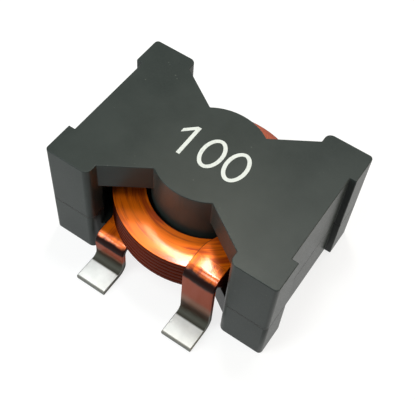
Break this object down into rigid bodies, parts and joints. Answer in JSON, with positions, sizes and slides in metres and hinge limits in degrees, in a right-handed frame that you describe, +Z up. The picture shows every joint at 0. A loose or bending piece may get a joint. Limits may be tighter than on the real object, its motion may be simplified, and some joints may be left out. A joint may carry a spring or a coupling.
{
  "type": "shielded power inductor",
  "caption": "Surface-mount power inductor: a PQ-shaped two-piece ferrite core round an edge-wound flat copper coil, whose ends are formed into solder feet.",
  "frame": {"origin": "middle of the ferrite core's underside, on the board plane", "axes": "+X along the core's long side, -Y towards the solder feet, +Z up out of the board"},
  "size_m": [0.027, 0.0235, 0.014],
  "materials": {
    "ferrite": "matte sintered ferrite",
    "adhesive": "cured black epoxy",
    "enamelled_copper": "clear-enamelled copper, tinned on the solder feet"
  },
  "bodies": {
    "root": {"lower_core": "ferrite", "upper_core": "ferrite", "left_bond_line": "adhesive", "right_bond_line": "adhesive", "left_coil_bond": "adhesive", "right_coil_bond": "adhesive", "winding": "enamelled_copper"}
  },
  "joints": []
}
